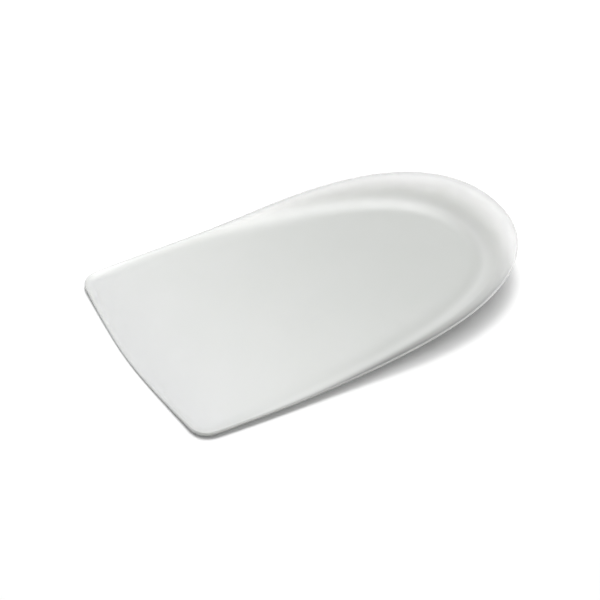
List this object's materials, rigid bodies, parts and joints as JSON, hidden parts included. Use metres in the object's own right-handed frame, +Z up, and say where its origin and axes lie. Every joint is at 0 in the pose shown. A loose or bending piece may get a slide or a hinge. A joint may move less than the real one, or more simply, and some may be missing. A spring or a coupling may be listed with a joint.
{
  "type": "heel cup",
  "caption": "Shallow shoe insert for the heel: a thin soft pad with a blunt front edge and a low flared wall that rises round the heel.",
  "frame": {"origin": "middle of the piece's box in the plan, on the surface it lies on", "axes": "+X from the front edge to the heel, +Y to the left side seen from the front edge, +Z up"},
  "size_m": [0.1024, 0.0666, 0.0093],
  "materials": {
    "frosted_silicone": "milky translucent silicone, satin, smooth"
  },
  "bodies": {
    "root": {"heel_cup": "frosted_silicone"}
  },
  "joints": []
}
